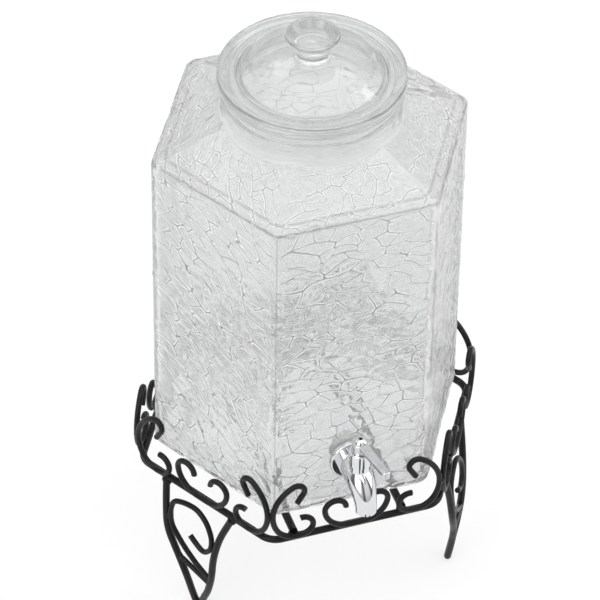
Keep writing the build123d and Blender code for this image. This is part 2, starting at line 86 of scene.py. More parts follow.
# Stand
ring_inradius = 122.0
ring_height = 123.5
leg_drop = 120.9
leg_width = 69.5
leg_shift = -6.2
side_angles = {
    "right_rear": 30, "rear": 90, "left_rear": 150, "left_front": 210, "front": 270, "right_front": 330,
}
leg_angles = [side_angles[side] for side in ("rear", "left_front", "right_front")]
bar_places = (-51.3, 40.0)


def add_object(name, data):
    made = bpy.data.objects.new(name, data)
    bpy.context.scene.collection.objects.link(made)
    return made


def add(tree, kind, values=None, **settings):
    """Add a shader node; a value that is a socket is linked, any other is set."""
    node = tree.nodes.new("ShaderNode" + kind)
    for name, value in settings.items():
        setattr(node, name, value)
    for name, value in (values or {}).items():
        if isinstance(value, bpy.types.NodeSocket):
            tree.links.new(value, node.inputs[name])
        else:
            node.inputs[name].default_value = value
    return node


def ramp(tree, factor, stops):
    """Colour ramp from a list of (place, grey or colour)."""
    node = add(tree, "ValToRGB", {"Fac": factor})
    elements = node.color_ramp.elements
    while len(elements) < len(stops):
        elements.new(0.5)
    for element, (place, colour) in zip(elements, stops):
        if not isinstance(colour, tuple):
            colour = (colour, colour, colour)
        element.position = place
        element.color = (*colour, 1)
    return node.outputs["Color"]


def new_material(name):
    material = bpy.data.materials.new(name)
    material.use_nodes = True
    material.node_tree.nodes.clear()
    return material, material.node_tree


def finish_material(tree, shader):
    add(tree, "OutputMaterial", {"Surface": shader})


def object_place(tree):
    return add(tree, "TexCoord").outputs["Object"]


def object_height(tree):
    return add(tree, "SeparateXYZ", {"Vector": object_place(tree)}).outputs["Z"]


def object_noise(tree, scale, detail=3.0, roughness=0.5):
    mapped = add(tree, "Mapping", {"Vector": object_place(tree)})
    return add(tree, "TexNoise", {"Vector": mapped.outputs["Vector"], "Scale": scale, "Detail": detail,
                                  "Roughness": roughness}).outputs["Fac"]


def share_between(tree, value, low, high):
    """How far a value is on its way from low to high, from 0 to 1."""
    return add(tree, "MapRange", {"Value": value, "From Min": low, "From Max": high}).outputs["Result"]


def share_from_axis(tree, centre, reach):
    """How far a place is from the upright axis through a point, from 0 to 1 at the reach."""
    offset = add(tree, "VectorMath", {0: object_place(tree), 1: centre}, operation="SUBTRACT").outputs[0]
    flat = add(tree, "VectorMath", {0: offset, 1: (1, 1, 0)}, operation="MULTIPLY").outputs[0]
    distance = add(tree, "VectorMath", {0: flat}, operation="LENGTH").outputs["Value"]
    return share_between(tree, distance, 0.0, reach)


def multiply(tree, colour, shade, share=1.0):
    mixed = add(tree, "Mix", {"A": colour, "B": shade}, data_type="RGBA", blend_type="MULTIPLY")
    mixed.inputs["Factor"].default_value = share
    return mixed.outputs["Result"]


def bump(tree, height, strength, distance, below=None):
    values = {"Height": height, "Strength": strength, "Distance": distance}
    if below is not None:
        values["Normal"] = below
    return add(tree, "Bump", values).outputs["Normal"]


def glass_material(name, thin, thick, ripple, haze, milk, rim_light, relief=False, knob_foot=None):
    """Clear glass with faint ripples, a little milkiness and bright rims where it is seen edge on.

    With relief it paints shade in the crackle's grooves, highlights on their lips and a dark and a white line
    at the shoulder's bend; above knob_foot it is darker, partly the thick glass's own tint and partly painted
    shade.
    """
    material, tree = new_material(name)
    streak = object_noise(tree, 22.0, 2.0)
    colour = ramp(tree, streak, [(0.35, thin), (0.75, thick)])
    milkiness = add(tree, "MapRange", {"Value": streak, "To Min": milk * 0.7, "To Max": milk * 1.3})
    cloud = milkiness.outputs["Result"]
    pale = (0.78, 0.785, 0.785, 1)
    if relief:
        # Painted shade along the crackle's grooves and painted highlight on their lips, read from the jar's
        # attributes
        groove = add(tree, "Attribute", attribute_name="groove").outputs["Fac"]
        lip_highlight = add(tree, "Attribute", attribute_name="lip_highlight").outputs["Fac"]
        # Painted shade and painted highlight at the shoulder's bend: a thin dark line with a white one above
        # it
        above = add(tree, "Math", {0: object_height(tree), 1: jar_shoulder * MM}, operation="SUBTRACT")
        place = share_between(tree, above.outputs[0], -SHOULDER_REACH, SHOULDER_REACH)
        for shade in (ramp(tree, groove, [(0.0, 1.0), (1.0, GROOVE_PAINTED_SHADE)]), ramp(tree, place, SHOULDER_PAINTED_SHADE)):
            colour = multiply(tree, colour, shade)
        # The milky part is painted too: darker toward a groove, whiter toward a lip
        slope = add(tree, "Math", {0: lip_highlight, 1: groove}, operation="SUBTRACT").outputs[0]
        pale = ramp(tree, share_between(tree, slope, -1.0, 1.0), [(0.0, 0.30), (0.5, 0.80), (0.8, 1.0)])
        # Painted highlight: more white milkiness on the lips
        lip_highlight_milk = add(tree, "MapRange", {"Value": lip_highlight, "To Min": 0.0, "To Max": LIP_PAINTED_HIGHLIGHT}).outputs["Result"]
        cloud = add(tree, "Math", {0: cloud, 1: lip_highlight_milk}, operation="ADD").outputs[0]
        # Painted highlight: the white line above the shoulder's bend
        line = ramp(tree, place, SHOULDER_PAINTED_HIGHLIGHT)
        cloud = add(tree, "Math", {0: cloud, 1: line}, operation="MAXIMUM").outputs[0]
    # Darker above the knob's foot: partly the thick glass's own tint, partly painted shade
    if knob_foot:
        place = share_between(tree, object_height(tree), knob_foot, knob_foot + KNOB_RAMP)
        colour = multiply(tree, colour, ramp(tree, place, [(0.0, 1.0), (1.0, KNOB_TINT_AND_SHADE)]))
    normal = bump(tree, object_noise(tree, 75.0, 1.0), ripple, 0.002)
    normal = bump(tree, object_noise(tree, 210.0, 2.0), ripple, 0.0003, normal)
    finish = ramp(tree, object_noise(tree, 35.0, 4.0), [(0.3, haze * 0.6), (0.9, haze * 1.3)])
    glass = add(tree, "BsdfPrincipled", {
        "Base Color": colour, "Roughness": finish, "IOR": 1.47, "Transmission Weight": 1.0, "Normal": normal})
    matt = add(tree, "BsdfDiffuse", {"Color": pale})
    through = add(tree, "BsdfTranslucent", {"Color": pale})
    milky = add(tree, "MixShader", {0: 0.5, 1: matt.outputs[0], 2: through.outputs[0]})
    body = add(tree, "MixShader", {0: cloud, 1: glass.outputs[0], 2: milky.outputs[0]})
    facing = add(tree, "LayerWeight", {"Blend": 0.5}).outputs["Facing"]
    grazing = ramp(tree, facing, [(0.72, 0.0), (0.92, rim_light)])
    straight = add(tree, "BsdfTransparent", {"Color": (0.94, 0.945, 0.945, 1)})
    body = add(tree, "MixShader", {0: grazing, 1: body.outputs[0], 2: straight.outputs[0]})
    clear = add(tree, "BsdfTransparent", {"Color": (0.93, 0.94, 0.935, 1)})
    shadow = add(tree, "LightPath").outputs["Is Shadow Ray"]
    mixed = add(tree, "MixShader", {0: shadow, 1: body.outputs[0], 2: clear.outputs[0]})
    finish_material(tree, mixed.outputs[0])
    return material


# Painted shade in the recess of a screw: how far its ramp reaches from the axis, in metres, and the ramp
RECESS_REACH = 0.005
RECESS_PAINTED_SHADE = [(0.26, 0.03), (0.32, 1.0)]


def metal_material(name, colour, shade, roughest, smoothest, grain, painted_shade_axis=None):
    """Metal with a slightly uneven finish; painted shade darkens a round recess about an upright axis."""
    material, tree = new_material(name)
    cloud = object_noise(tree, 55.0, 4.0)
    tint = ramp(tree, cloud, [(0.3, shade), (0.7, colour)])
    if painted_shade_axis:
        # Painted shade: the chrome darkens to near black in the screw's recess
        away = share_from_axis(tree, painted_shade_axis, RECESS_REACH)
        tint = multiply(tree, tint, ramp(tree, away, RECESS_PAINTED_SHADE))
    finish = ramp(tree, object_noise(tree, 180.0, 5.0, 0.6), [(0.3, smoothest), (0.8, roughest)])
    normal = bump(tree, object_noise(tree, 900.0, 2.0), grain, 0.0003)
    metal = add(tree, "BsdfPrincipled", {
        "Base Color": tint, "Metallic": 1.0, "Roughness": finish, "Normal": normal})
    finish_material(tree, metal.outputs[0])
    return material


def iron_material():
    """Black satin coat on hand-bent rod: fine grain, soft forging marks and a greyer film in places."""
    material, tree = new_material("black_iron_coat")
    cloud = object_noise(tree, 42.0, 5.0, 0.6)
    tint = ramp(tree, cloud, [(0.35, (0.004, 0.004, 0.0044)), (0.72, (0.011, 0.011, 0.0115))])
    finish = ramp(tree, object_noise(tree, 160.0, 5.0, 0.6), [(0.3, 0.30), (0.8, 0.50)])
    normal = bump(tree, object_noise(tree, 130.0, 2.0), 0.35, 0.0012)
    normal = bump(tree, object_noise(tree, 1500.0, 3.0), 0.25, 0.0003, normal)
    coat = add(tree, "BsdfPrincipled", {
        "Base Color": tint, "Roughness": finish, "Specular IOR Level": 0.24, "Normal": normal})
    finish_material(tree, coat.outputs[0])
    return material


def rubber_material(name, colour, shade, rough):
    material, tree = new_material(name)
    tint = ramp(tree, object_noise(tree, 90.0, 4.0), [(0.3, shade), (0.7, colour)])
    normal = bump(tree, object_noise(tree, 1100.0, 3.0), 0.3, 0.0002)
    finish = ramp(tree, object_noise(tree, 300.0, 3.0), [(0.3, rough - 0.08), (0.8, rough)])
    rubber = add(tree, "BsdfPrincipled", {"Base Color": tint, "Roughness": finish, "Normal": normal})
    finish_material(tree, rubber.outputs[0])
    return material


def silicone_material():
    material, tree = new_material("clear_silicone")
    tint = ramp(tree, object_noise(tree, 60.0, 2.0), [(0.3, (0.86, 0.88, 0.87)), (0.8, (0.93, 0.94, 0.93))])
    haze = ramp(tree, object_noise(tree, 200.0, 3.0), [(0.3, 0.12), (0.8, 0.3)])
    normal = bump(tree, object_noise(tree, 500.0, 2.0), 0.2, 0.0003)
    body = add(tree, "BsdfPrincipled", {
        "Base Color": tint, "Roughness": haze, "IOR": 1.41, "Transmission Weight": 0.9, "Normal": normal})
    finish_material(tree, body.outputs[0])
    return material


# Relief of the jar's glass: painted shade at the bottom of a groove and painted highlight, as white
# milkiness, on its lips; how far the ramps of the thin painted dark and white lines reach from the shoulder's
# bend, in metres, and the ramps
GROOVE_PAINTED_SHADE = 0.15
LIP_PAINTED_HIGHLIGHT = 0.55
SHOULDER_REACH = 0.005
SHOULDER_PAINTED_SHADE = [(0.40, 1.0), (0.44, 0.45), (0.50, 0.45), (0.54, 1.0)]
SHOULDER_PAINTED_HIGHLIGHT = [(0.54, 0.0), (0.58, 0.35), (0.64, 0.35), (0.68, 0.0)]
# Tint of the thick knob, partly the glass's own and partly painted shade, how far it fades in, and how far
# below the lid's top it ends
KNOB_TINT_AND_SHADE = 0.85
KNOB_RAMP = 0.006
KNOB_DEPTH = 0.018

jar_glass = glass_material(
    "jar_crackle_glass", (0.864, 0.871, 0.871), (0.834, 0.844, 0.844), ripple=0.40, haze=0.045, milk=0.13,
    rim_light=0.75, relief=True)
lid_glass = glass_material(
    "lid_clear_glass", (0.862, 0.87, 0.868), (0.834, 0.844, 0.841), ripple=0.05, haze=0.015, milk=0.08,
    rim_light=0.10, knob_foot=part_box("glass_lid")[1].z - KNOB_DEPTH)
silicone = silicone_material()
chrome = metal_material("tap_chrome", (0.80, 0.81, 0.82), (0.72, 0.73, 0.745), 0.14, 0.05, 0.03)
screw_low, screw_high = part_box("handle_screw")
screw_chrome = metal_material("screw_chrome", (0.80, 0.81, 0.82), (0.72, 0.73, 0.745), 0.14, 0.05, 0.03,
                              (screw_low + screw_high) / 2)
satin = metal_material("handle_chrome", (0.72, 0.73, 0.74), (0.62, 0.63, 0.645), 0.30, 0.18, 0.08)
brass = metal_material("valve_brass", (0.74, 0.56, 0.28), (0.62, 0.45, 0.20), 0.38, 0.22, 0.1)
steel = metal_material("nut_steel", (0.58, 0.58, 0.57), (0.48, 0.48, 0.48), 0.42, 0.26, 0.12)
black_rubber = rubber_material("black_rubber", (0.03, 0.03, 0.032), (0.018, 0.018, 0.019), 0.62)
washer_rubber = rubber_material("washer_rubber", (0.42, 0.42, 0.41), (0.34, 0.34, 0.335), 0.6)
iron = iron_material()

finishes = {
    "glass_lid": lid_glass, "lid_seal": silicone, "tap_body": chrome, "tap_bonnet": chrome,
    "tap_handle": satin, "handle_screw": screw_chrome, "valve_plug": brass, "valve_seal_ring": black_rubber,
    "outer_washer": black_rubber, "inner_washer": washer_rubber, "lock_nut": steel, "glass_jar": jar_glass,
}


def dress_nodes():
    """Give every CAD node its material; the stand's rods are iron."""
    for name, node in nodes.items():
        finish = finishes.get(name, iron)
        if not node.material_slots:
            node.data.materials.append(finish)
        for place in node.material_slots:
            place.material = finish


dress_nodes()


def smooth(value):
    value = np.clip(value, 0.0, 1.0)
    return value * value * (3 - 2 * value)


def corner_offset(theta):
    """Angle from the nearest of the hexagon's corners, which lie at 0, 60, ... degrees."""
    return (theta + math.pi / 6) % (math.pi / 3) - math.pi / 6


def hexagon_radius(theta, inradius, corner):
    """Distance from the axis to a rounded hexagon, in each direction."""
    off = corner_offset(theta)
    centre = (inradius - corner) / math.cos(math.pi / 6)
    limit = np.arctan2(corner * 0.5, centre + corner * math.cos(math.pi / 6))
    flat = inradius / np.cos(math.pi / 6 - np.abs(off))
    arc = centre * np.cos(off) + np.sqrt(np.maximum(corner ** 2 - (centre * np.sin(off)) ** 2, 0))
    return np.where(np.abs(off) < limit, arc, flat)


def hexagon_inradius(radius, theta, corner):
    """Inradius of the rounded hexagon that passes through a point."""
    off = corner_offset(theta)
    across = radius * np.sin(off)
    along = radius * np.cos(off) - np.sqrt(np.maximum(corner ** 2 - across ** 2, 0))
    flat = radius * np.cos(math.pi / 6 - np.abs(off))
    return np.where(np.abs(across) < corner / 2, corner + along * math.cos(math.pi / 6), flat)


def bend(a, b, c, share):
    """Point on the curve that leaves a towards b and ends at c."""
    return (1 - share) ** 2 * a + 2 * share * (1 - share) * b + share ** 2 * c


def direction(x):
    """Direction of a place along the unrolled outline."""
    side = np.floor(x / side_length)
    along = x - (side + 0.5) * side_length
    return (side + 0.5) * math.pi / 3 + np.arctan(along / jar_inradius)


def shell_profile(theta, inradius, corner, shoulder, round_radius, shoulder_cut, root_cut):
    """The corner points of one shell's section at each direction: wall, roof and neck."""
    wall = hexagon_radius(theta, inradius, corner)
    root = shoulder + (inradius - hexagon_inradius(round_radius, theta, corner)) * jar_slope
    length = np.hypot(round_radius - wall, root - shoulder)
    e_r = (round_radius - wall) / length
    e_z = (root - shoulder) / length
    return {
        "wall": (wall, shoulder - shoulder_cut), "corner": (wall, shoulder),
        "roof_start": (wall + e_r * shoulder_cut, shoulder + e_z * shoulder_cut),
        "roof_end": (round_radius - e_r * root_cut, root - e_z * root_cut),
        "root": (round_radius, root), "neck": (round_radius, root + root_cut),
    }


# Where the parts of the outer skin begin and end, up along the jar's section from its foot
HEEL_LOW = -8.0
ROLL_LOW = 297.5
ROLL_HIGH = 302.5
ROOF_HIGH = 350.0
NECK_LOW = 356.0
NECK_HIGH = 380.0
# How far the shoulder's and the neck's rounding reach from their corners, outside and inside
OUTER_CUTS = (2.5, 3.1)
INNER_CUTS = (1.5, 3.8)
# Least rounding of the upright corners where the heel draws in, number of the side that carries the tap, and
# the step by which the skin's slope is measured
LEAST_CORNER = 1.0
FRONT_SIDE = 4
NORMAL_STEP = 0.05
# How far the skin stays bare and over how much the relief then fades in, from the upright corners, the
# foot, the shoulder's bend, the tap's middle and the neck, and the share of relief left on that bend
CORNER_FADE = (3.0, 2.5)
FOOT_FADE = (1.0, 10.0)
SHOULDER_FADE = (1.0, 3.0)
TAP_FADE = (19.0, 6.0)
NECK_FADE = (0.0, 3.5)
SHOULDER_RELIEF = 0.10


def outer_surface(x, y):
    """Point of the jar's outer skin, before its relief: x runs round the jar, y up along its section."""
    theta = direction(x)
    turn = np.clip((y - HEEL_LOW) / (jar_heel - HEEL_LOW), 0, 1) * math.pi / 2
    inset = jar_heel * (1 - np.sin(turn))
    corner = jar_corner - (jar_corner - LEAST_CORNER) * inset / jar_heel
    radius = hexagon_radius(theta, jar_inradius - inset, corner)
    height = jar_base + np.where(y < jar_heel, jar_heel * (1 - np.cos(turn)), y)
    part = shell_profile(theta, jar_inradius, jar_corner, jar_shoulder, neck_radius, *OUTER_CUTS)
    neck_top = (neck_radius, jar_rim_top - rim_height)
    roll = np.clip((y - ROLL_LOW) / (ROLL_HIGH - ROLL_LOW), 0, 1)
    roof = np.clip((y - ROLL_HIGH) / (ROOF_HIGH - ROLL_HIGH), 0, 1)
    root = np.clip((y - ROOF_HIGH) / (NECK_LOW - ROOF_HIGH), 0, 1)
    neck = np.clip((y - NECK_LOW) / (NECK_HIGH - NECK_LOW), 0, 1)
    stages = [
        (ROLL_LOW, lambda i: bend(part["wall"][i], part["corner"][i], part["roof_start"][i], roll)),
        (ROLL_HIGH, lambda i: part["roof_start"][i] * (1 - roof) + part["roof_end"][i] * roof),
        (ROOF_HIGH, lambda i: bend(part["roof_end"][i], part["root"][i], part["neck"][i], root)),
        (NECK_LOW, lambda i: part["neck"][i] * (1 - neck) + neck_top[i] * neck),
    ]
    for start, value in stages:
        radius = np.where(y > start, value(0), radius)
        height = np.where(y > start, value(1), height)
    return np.stack([radius * np.cos(theta), radius * np.sin(theta), height], -1)


def outer_normal(x, y):
    across = outer_surface(x + NORMAL_STEP, y) - outer_surface(x - NORMAL_STEP, y)
    upward = outer_surface(x, y + NORMAL_STEP) - outer_surface(x, y - NORMAL_STEP)
    normal = np.cross(across, upward)
    return normal / np.linalg.norm(normal, axis=-1, keepdims=True)


def fade_in(distance, bare, width):
    """From 0 at the end of the bare stretch to 1 a width beyond it."""
    return smooth((distance - bare) / width)


def relief_mask(x, y):
    """Where the crackle shows: not on the upright corners, the heel, the neck or under the tap's flange."""
    along = x % side_length
    from_corner = np.minimum(along, side_length - along)
    mask = fade_in(from_corner, *CORNER_FADE) * fade_in(y, *FOOT_FADE) * fade_in(RELIEF_HIGH - y, *NECK_FADE)
    mask *= SHOULDER_RELIEF + (1 - SHOULDER_RELIEF) * fade_in(np.abs(y - body_height), *SHOULDER_FADE)
    front = np.floor(x / side_length) == FRONT_SIDE
    from_tap = np.hypot(x - (FRONT_SIDE + 0.5) * side_length - tap_shift, y - tap_height)
    return np.where(front, mask * fade_in(from_tap, *TAP_FADE), mask)


def scatter(number, other):
    """Repeatable random share for a pair of whole numbers."""
    value = math.sin(number * 12.9898 + other * 78.233 + 4.1) * 43758.5453
    return value - math.floor(value)


def cut_polygon(points, labels, normal, limit, label):
    """Keep the part of a convex polygon where normal . p <= limit; new edges get the label."""
    kept, kept_labels = [], []
    count = len(points)
    inside = [normal[0] * p[0] + normal[1] * p[1] - limit for p in points]
    for i in range(count):
        j = (i + 1) % count
        if inside[i] <= 0:
            kept.append(points[i])
            kept_labels.append(labels[i])
        if (inside[i] <= 0) != (inside[j] <= 0):
            share = inside[i] / (inside[i] - inside[j])
            kept.append((points[i][0] + share * (points[j][0] - points[i][0]),
                         points[i][1] + share * (points[j][1] - points[i][1])))
            kept_labels.append(label if inside[i] <= 0 else labels[i])
    return kept, kept_labels


# Crackle of each side: mean cell size, how much longer than high a cell is, and its slant in degrees
CRACKLE = [
    (13.0, 1.8, -14), (12.5, 1.5, 10), (13.0, 2.0, -24), (12.0, 2.2, -33), (12.5, 1.8, 4), (12.5, 2.0, 22),
]
# Labels of a side's four borders, in place of the number of a cell beyond them
BORDERS = FOOT, RIGHT, TOP, LEFT = -1, -2, -3, -4
# Where the crackle lies on a side; how far its seeds stray and stay inside, the share of them left out, and
# how many neighbours shape a cell
EDGE_MARGIN = 4.0
RELIEF_LOW = -2.0
RELIEF_HIGH = 350.5
SEED_JITTER = 0.46
SEED_MARGIN = 0.8
SEED_DROP = 0.10
NEIGHBOURS = 40
# Bow of the lines: how far from a border it grows to its full size, and for its parts across and up the
# lengths of the wave in both directions, its place in the noise and its size
BOW_WINDOW = 12.0
BOW_WAVES = ((26.0, 20.0, 0.0, 5.0), (22.0, 24.0, 40.0, 7.0))
# Spread of the cells' heights and slopes, and how much of the slope is left across
CELL_RISE = 0.12
CELL_SLOPE = 0.055
SLOPE_ACROSS = 0.7
# Strength of the faint lines and the share of lines that are faint, least strength and spread of the others,
# and how much a line's strength wavers along it: its mean, size and wave length
FAINT_LINE = 0.12
FAINT_SHARE = 0.24
LINE_LEAST = 0.45
LINE_SPREAD = 0.75
LINE_WAVER = (0.75, 0.5, 9.0)
# Step along a line, depth of a groove, dip of a cell's middle, share of the painted groove shade that the
# roof's grooves keep
LINE_STEP = 2.7
GROOVE_DEPTH = 0.60
CENTRE_DIP = 0.06
ROOF_GROOVE_SHADE = 0.65
# Rings inside a cell's outline, at its lip and its flat: inset, most share of the way to the middle, and how
# high the ring stands beside a full groove; the lip ring also carries the line's painted highlight
CELL_RINGS = ((0.9, 0.35, 0.20), (2.1, 0.6, 0.0))


def crackle_cells(side):
    """Cells of one side: seeds, and each cell's outline with the neighbour beyond each edge."""
    size, ratio, slant = CRACKLE[side]
    random = np.random.default_rng(311 + side)
    angle = math.radians(slant)
    long_scale = 1 / (size * math.sqrt(ratio))
    short_scale = math.sqrt(ratio) / size
    forward = np.array([[math.cos(angle) * long_scale, math.sin(angle) * long_scale],
                        [-math.sin(angle) * short_scale, math.cos(angle) * short_scale]])
    back = np.linalg.inv(forward)
    low = np.array([EDGE_MARGIN, RELIEF_LOW])
    high = np.array([side_length - EDGE_MARGIN, RELIEF_HIGH])
    frame_corners = [(low[0], low[1]), (high[0], low[1]), (high[0], high[1]), (low[0], high[1])]
    corners = [tuple(forward @ np.array(p)) for p in frame_corners]
    reach = np.array(corners)
    seeds = []
    for row in range(int(reach[:, 1].min()) - 2, int(reach[:, 1].max()) + 3):
        for column in range(int(reach[:, 0].min()) - 2, int(reach[:, 0].max()) + 3):
            jitter = random.uniform(-SEED_JITTER, SEED_JITTER, 2)
            drop = random.uniform()
            seed = np.array([column + 0.5 * (row % 2), row]) + jitter
            place = back @ seed
            if drop > SEED_DROP and np.all(place > low + SEED_MARGIN) and np.all(place < high - SEED_MARGIN):
                seeds.append(seed)
    seeds = np.array(seeds)
    outlines = []
    for i, seed in enumerate(seeds):
        points, labels = list(corners), list(BORDERS)
        distance = np.hypot(*(seeds - seed).T)
        for j in np.argsort(distance)[1:NEIGHBOURS]:
            normal = seeds[j] - seed
            limit = float(normal @ (seeds[j] + seed)) / 2
            points, labels = cut_polygon(points, labels, normal, limit, int(j))
        outlines.append(([back @ np.array(p) for p in points], labels))
    places = [back @ seed for seed in seeds]
    return places, outlines


def bow(p, side):
    """Gentle curve given to the crackle's straight lines; it dies out at the side's borders."""
    x, y = p
    border = min(x - EDGE_MARGIN, side_length - EDGE_MARGIN - x, y - RELIEF_LOW, RELIEF_HIGH - y)
    window = min(max(border, 0.0) / BOW_WINDOW, 1.0)
    wave_x, wave_y = (noise.noise(Vector((x / across, y / upward, 3.7 * side + start))) * size
                      for across, upward, start, size in BOW_WAVES)
    return x + wave_x * window, y + wave_y * window


def crackle_side(side, skin):
    """Add one side's crackle to the skin and return its four borders as lists of (key, vertex)."""
    places, outlines = crackle_cells(side)
    tilt = np.random.default_rng(911 + side).uniform(-1, 1, (len(places), 3))
    shared = {}
    borders = {label: [] for label in BORDERS}

    def level(cell, p):
        offset = p - places[cell]
        rise, across, upward = tilt[cell]
        return CELL_RISE * rise + CELL_SLOPE * (SLOPE_ACROSS * across * offset[0] + upward * offset[1])

    def weight(a, b):
        if a < 0 or b < 0:
            return 0.0
        value = scatter(min(a, b) + 1000 * side, max(a, b))
        return FAINT_LINE if value < FAINT_SHARE else LINE_LEAST + LINE_SPREAD * value

    def waver(p):
        mean, size, wave = LINE_WAVER
        return mean + size * noise.noise(Vector((p[0] / wave, p[1] / wave, side)))

    def place_vertex(p, height, groove, lip_highlight=0.0):
        x, y = bow(p, side)
        skin["x"].append(x + side * side_length)
        skin["y"].append(y)
        skin["h"].append(height)
        # Painted light carried by each vertex: shade in a groove, highlight on a lip
        skin["groove"].append(groove)
        skin["lip_highlight"].append(lip_highlight)
        return len(skin["x"]) - 1

    def shared_vertex(key, p, cells, line_weight):
        if key not in shared:
            height = sum(level(c, p) for c in cells) / len(cells) - GROOVE_DEPTH * line_weight
            vertex = place_vertex(p, height, line_weight)
            shared[key] = vertex
            for label in borders:
                if label in key[0]:
                    along = skin["y"] if label in (RIGHT, LEFT) else skin["x"]
                    borders[label].append((along[vertex], vertex))
        return shared[key]

    for cell, (points, labels) in enumerate(outlines):
        count = len(points)
        centre = sum(points) / count
        loop = []
        keys = [frozenset((cell, labels[i - 1], labels[i])) for i in range(count)]
        for i in range(count):
            j = (i + 1) % count
            a, b, label = points[i], points[j], labels[i]
            near = [c for c in (cell, labels[i - 1], label) if c >= 0]
            pairs = [weight(u, v) for n, u in enumerate(near) for v in near[n + 1:]]
            joint = sum(pairs) / len(pairs) if pairs else 0.0
            edge = b - a
            length = math.hypot(*edge)
            inward = np.array([-edge[1], edge[0]]) / max(length, 1e-9)
            depth = abs(float((centre - a) @ inward))
            before = a - points[i - 1]
            before_inward = np.array([-before[1], before[0]]) / max(math.hypot(*before), 1e-9)
            before_depth = abs(float((centre - a) @ before_inward))
            loop.append((a, shared_vertex((keys[i], 0), a, near, joint), min(depth, before_depth), joint))
            steps = max(1, round(length / LINE_STEP))
            line = weight(cell, label)
            cells = [c for c in (cell, label) if c >= 0]
            swap = sorted(keys[i]) > sorted(keys[j])
            for step in range(1, steps):
                p = a + edge * step / steps
                number = steps - step if swap else step
                strength = line * waver(p)
                vertex = shared_vertex((frozenset((cell, label)), number), p, cells, strength)
                loop.append((p, vertex, depth, strength))
        rings = []
        for inset, most, rise in CELL_RINGS:
            ring = []
            for p, _, depth, line in loop:
                q = p + (centre - p) * min(inset / max(depth, 1e-6), most)
                # The lip ring takes the line's strength as painted highlight
                ring.append(place_vertex(q, level(cell, q) + rise * line, 0.0, line if rise else 0.0))
            rings.append(ring)
        middle = place_vertex(centre, level(cell, centre) - CENTRE_DIP, 0.0)
        outer = [vertex for _, vertex, _, _ in loop]
        for i in range(len(loop)):
            j = (i + 1) % len(loop)
            skin["faces"].append((outer[i], outer[j], rings[0][j], rings[0][i]))
            skin["faces"].append((rings[0][i], rings[0][j], rings[1][j], rings[1][i]))
            skin["faces"].append((rings[1][i], rings[1][j], middle))
    return {label: sorted(found) for label, found in borders.items()}


def sew(faces, first, second):
    """Fill the strip between two rows of (key, vertex) with triangles."""
    i = j = 0
    while i < len(first) - 1 or j < len(second) - 1:
        if j == len(second) - 1 or (i < len(first) - 1 and first[i + 1][0] <= second[j + 1][0]):
            faces.append((first[i][1], first[i + 1][1], second[j][1]))
            i += 1
        else:
            faces.append((first[i][1], second[j + 1][1], second[j][1]))
            j += 1


def close_row(row):
    return row + [(row[0][0] + perimeter, row[0][1])]


# Vertices in a round row, rows along an upright corner, and the distance, in metres, at which two vertices
# become one
RING_COUNT = 288
ROW_COUNT = 90
MERGE_DISTANCE = 2e-6
# Levels of the rows round the neck's foot, and how much painted highlight, as white milkiness, each one gets
NECK_FOOT = (
    (351.2, 0.1), (352.2, 0.3), (353.4, 0.45), (354.6, 0.5), (356.0, 0.5), (359.0, 0.4), (362.0, 0.25),
    (366.0, 0.0),
)
# Columns of vertices at each upright corner; the middle one has a thin painted dark line, painted shade,
# between two levels
CORNER_OFFSETS = (-2.6, -1.0, 0.0, 1.0, 2.6)
CORNER_PAINTED_SHADE = 0.55
CORNER_SHADE_LOW = 6.0
CORNER_SHADE_HIGH = 298.0
# Share of the rim's height that its roll takes; the small bevel of the bore and of the hollow; how far the
# row in the bore lies below the rim's top, and the one on the neck below the rim's foot
RIM_ROLL = 0.45
BEVEL = 0.6
BORE_ROW = 12.0
NECK_ROW = 3.0
# Heights of the inner wall's rows, the inner heel's radius, levels of the rows under the jar's foot, and the
# hollow there: inset and depth
WALL_ROWS = (380.0, 330.0, 280.0, 230.0, 180.0)
INNER_HEEL = 7.0
FOOT_ROWS = (-4.0, -6.0, HEEL_LOW)
HOLLOW_INSET = 16.0
HOLLOW_DEPTH = 2.0
# Ring on the neck: how far below the rim, how proud and half how high
NECK_RING_DROP = 8.5
NECK_RING_SWELL = 1.2
NECK_RING_HALF = 1.35


